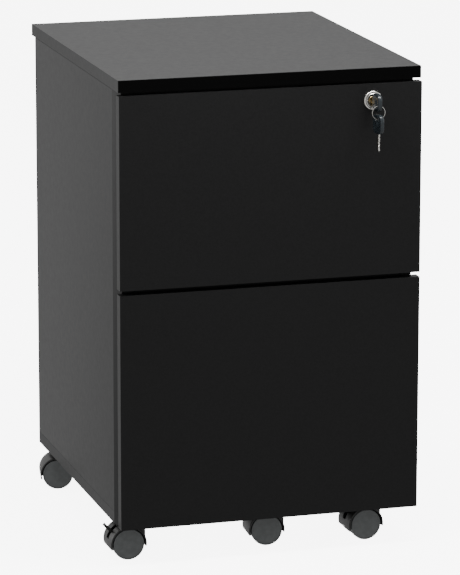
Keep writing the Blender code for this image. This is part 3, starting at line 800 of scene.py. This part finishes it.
def make_casters(materials):
    """Hoods, wheels and brake levers of the five casters."""
    for prefix in CASTERS:
        place = caster_frame(prefix)
        with_brake = prefix.startswith("front")
        shell = hood(prefix + "_hood_shell", with_brake)
        shell.data.transform(place)
        add_bevel(shell, EDGE_BEVEL)
        dress(shell, materials["black_plastic"], "black_plastic", prefix + "_swivel", prefix + "_hood")
        for side_name, side in (("left", -1), ("right", 1)):
            node = prefix + "_wheel_" + side_name
            item = wheel(node + "_moulding", side)
            item.data.transform(place)
            dress(item, materials["grey_tyre"], "grey_tyre", node, node)
        if with_brake:
            node = prefix + "_brake_lever"
            lever = brake_lever(node + "_moulding")
            lever.data.transform(place)
            dress(lever, materials["black_plastic"], "black_plastic", node, node)


# -------------------------------------------------------------- lock and keys

def make_lock(materials):
    """Stepped bezel and barrel, and the plug with its keyway."""
    low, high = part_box("lock_housing")
    bezel_radius = BEZEL_FACE[-1][0]
    hole_radius = BEZEL_FACE[0][0]
    profile = list(BEZEL_FACE)
    profile += [(bezel_radius, BEZEL_DEPTH), (BARREL_RADIUS, BEZEL_DEPTH)]
    profile += [(BARREL_RADIUS, BARREL_REAR), (hole_radius, BARREL_REAR)]
    centre = ((low.x + high.x) / 2, low.y, (low.z + high.z) / 2)
    housing = lathe("lock_bezel", profile, "Y", centre, 64, closed=True)
    dress(housing, materials["chrome"], "chrome", "upper_drawer", "lock_housing")

    low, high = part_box("lock_plug")
    length = high.y - low.y
    shoulder = length - PLUG_TAIL_LENGTH
    profile = list(PLUG_FACE)
    profile += [(PLUG_FACE[-1][0], shoulder), (PLUG_TAIL_RADIUS, shoulder)]
    profile += [(PLUG_TAIL_RADIUS, length), (0, length)]
    centre = ((low.x + high.x) / 2, low.y, (low.z + high.z) / 2)
    plug = lathe("lock_rotor_face", profile, "Y", centre, 48)
    outline = rounded_outline((centre[0], centre[2]), KEYWAY_HALF_WIDTH, KEYWAY_HALF_HEIGHT, KEYWAY_CORNER, 2)
    cut(plug, prism("keyway", outline, "Y", low.y - 0.001, low.y + KEYWAY_DEPTH))
    dress(plug, materials["brass_plug"], "brass_plug", "lock_rotor", "lock_plug")


def key_head(name):
    """Moulded key head in the YZ plane with soft edges; the slot's middle is the origin."""
    middle = (HEAD_LENGTH / 2 - SLOT_FROM_END, 0)
    outline = rounded_outline(middle, HEAD_LENGTH / 2, HEAD_HALF_WIDTH, HEAD_CORNER, 8)
    head = prism(name, outline, "X", -HEAD_HALF_THICKNESS, HEAD_HALF_THICKNESS)
    slot = rounded_outline((0, 0), *KEY_SLOT_HALF, KEY_SLOT_CORNER, 6)
    cut(head, prism("slot", slot, "X", -2 * HEAD_HALF_THICKNESS, 2 * HEAD_HALF_THICKNESS))
    add_bevel(head, HEAD_ROUND, 3)
    applied(head)
    sharpen(head.data, 50)
    return head


def key_blade(name, length):
    """Milled blade: shoulder inside the head, bitting cuts, pointed tip and a long groove."""
    start = HEAD_END - BLADE_ROOT
    end = HEAD_END + length
    half = BLADE_HALF_WIDTH
    pitch = (length - 2 * BLADE_TIP) / len(KEY_CUTS)
    outline = [(start, -half)]
    for index, depth in enumerate(KEY_CUTS):
        near = HEAD_END + index * pitch
        outline.append((near, -half))
        outline.append((near + 0.35 * pitch, -half + depth))
        outline.append((near + 0.65 * pitch, -half + depth))
    outline += [(end - BLADE_TIP, -half), (end, -TIP_HALF_WIDTH)]
    outline += [(end, TIP_HALF_WIDTH), (end - BLADE_TIP, half), (start, half)]
    blade = prism(name, outline, "X", -BLADE_HALF_THICKNESS, BLADE_HALF_THICKNESS)
    groove_start = start + 0.001
    groove_end = end - 0.003
    groove = [(groove_start, 0.0002), (groove_end, 0.0002), (groove_end, 0.0011), (groove_start, 0.0011)]
    return cut(blade, prism("groove", groove, "X", 0.6 * BLADE_HALF_THICKNESS, 2 * BLADE_HALF_THICKNESS))


def make_key(prefix, node, body, place, blade_length, materials):
    """One key, a moulded head and a plated blade, in place of its CAD node."""
    head = key_head(prefix + "_head")
    head.data.transform(place)
    dress(head, materials["key_plastic"], "black_plastic", body, node)
    blade = key_blade(prefix + "_blade", blade_length)
    blade.data.transform(place)
    dress(blade, materials["chrome"], "chrome", body)


def make_keys(materials):
    """Key in the lock and spare key, both hanging on the ring's middle plane."""
    ring = middle_of("key_ring")
    key_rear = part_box("key")[1].y
    place = Matrix.Translation((ring.x, ring.y, middle_of("lock_plug").z))
    make_key("key", "key", "lock_rotor", place, key_rear - ring.y - HEAD_END, materials)

    spare_low, spare_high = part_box("spare_key")
    slot_z = spare_high.z - SLOT_FROM_END
    turned = Matrix.Rotation(math.radians(SPARE_TURN), 4, "Z") @ Matrix.Rotation(-math.pi / 2, 4, "X")
    place = Matrix.Translation((ring.x, ring.y, slot_z)) @ turned
    make_key("spare", "spare_key", "spare_key", place, slot_z - HEAD_END - spare_low.z, materials)


def make_split_ring(materials):
    """Split ring: two close turns of wire, swept as one closed tube."""
    low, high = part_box("key_ring")
    centre = (low + high) / 2
    radius = (high.x - low.x) / 2 - RING_INSET
    sections = []
    for step in range(RING_STEPS + 1):
        share = step / RING_STEPS
        angle = math.radians(RING_START) + 2 * math.pi * RING_TURNS * share
        spoke = Vector((math.cos(angle), 0, math.sin(angle)))
        offset = RING_RISE * math.tanh(RING_STEEPNESS * (share - 0.5)) / math.tanh(RING_STEEPNESS / 2)
        middle = centre + spoke * radius + Vector((0, offset, 0))
        section = []
        for side in range(RING_SIDES):
            around = 2 * math.pi * side / RING_SIDES
            reach = spoke * WIRE_RADIUS * math.cos(around)
            section.append(middle + reach + Vector((0, WIRE_RADIUS * math.sin(around), 0)))
        sections.append(section)
    item = swept("split_ring", sections)
    dress(item, materials["chrome"], "chrome", "key_ring", "key_ring")


# -------------------------------------------------------------- carried nodes

def soften_node(item):
    """Small rounded edges on a carried-over CAD node."""
    weld = item.modifiers.new("weld", "WELD")
    weld.merge_threshold = 0.00001
    flatten = item.modifiers.new("flatten", "DECIMATE")
    flatten.decimate_type = "DISSOLVE"
    flatten.angle_limit = math.radians(1)
    add_bevel(item, EDGE_BEVEL)


def dress_carried_nodes(materials):
    """Give every CAD node its slot's material, and soft edges where it still shows."""
    slots = {entry["node"]: entry["material_slot"] for entry in FRAME["record"]["subparts"]}
    replaced = {name for item in bpy.data.objects for name in item.get("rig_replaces", [])}
    for name, item in FRAME["nodes"].items():
        item.data.materials.clear()
        item.data.materials.append(materials[slots[name]])
        if name not in replaced:
            soften_node(item)


# --------------------------------------------------------------- surroundings

def add_light(name, place, target, size, power):
    """Soft rectangular light aimed at a point."""
    data = bpy.data.lights.new(name, "AREA")
    data.shape = "RECTANGLE"
    data.size, data.size_y = size
    data.energy = power
    item = bpy.data.objects.new(name, data)
    bpy.context.scene.collection.objects.link(item)
    item.location = place
    item.rotation_euler = (Vector(target) - Vector(place)).to_track_quat("-Z", "Y").to_euler()
    item.visible_camera = False


def make_floor():
    """Plain pale floor that sweeps up into a dome far around the object; it lights nothing."""
    profile = [(0, 0), (DOME_RADIUS - DOME_CORNER, 0)]
    profile += arc((DOME_RADIUS - DOME_CORNER, DOME_CORNER), DOME_CORNER, -90, 0, 8)[1:]
    profile += arc((0, DOME_CORNER), DOME_RADIUS, 0, 86, 12)[1:]
    profile.append((0, DOME_RADIUS + DOME_CORNER))
    floor = lathe("studio_floor", profile, "Z", (0, 0, 0), 64)
    material, shader = new_material("studio_white", (0.9, 0.9, 0.9), 0.0, 0.9, 0.1)
    shader.inputs["Emission Color"].default_value = (1, 1, 1, 1)
    shader.inputs["Emission Strength"].default_value = FLOOR_GLOW
    floor.data.materials.append(material)
    floor.visible_diffuse = False
    floor.visible_glossy = False
    floor.visible_shadow = False


def make_lights():
    """Softboxes all round and above, and an even sky."""
    for softbox in SOFTBOXES:
        add_light(*softbox)
    world = bpy.data.worlds.new("studio_world")
    world.use_nodes = True
    background = world.node_tree.nodes["Background"]
    background.inputs["Color"].default_value = (1, 1, 1, 1)
    background.inputs["Strength"].default_value = WORLD_STRENGTH
    bpy.context.scene.world = world


def make_camera():
    """Long lens from the front left, looking slightly down."""
    data = bpy.data.cameras.new("camera")
    data.sensor_width = CAMERA_SENSOR
    data.lens = CAMERA_LENS
    data.clip_end = CAMERA_CLIP_END
    item = bpy.data.objects.new("camera", data)
    bpy.context.scene.collection.objects.link(item)
    item.location = CAMERA_PLACE
    item.rotation_euler = (math.pi / 2 - CAMERA_PITCH, CAMERA_ROLL, -CAMERA_YAW)
    bpy.context.scene.camera = item


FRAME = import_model()
make_camera()
MATERIALS = make_materials()
make_top(MATERIALS)
make_sides(MATERIALS)
make_back(MATERIALS)
make_fronts(MATERIALS)
make_casters(MATERIALS)
make_lock(MATERIALS)
make_keys(MATERIALS)
make_split_ring(MATERIALS)
dress_carried_nodes(MATERIALS)
make_floor()
make_lights()
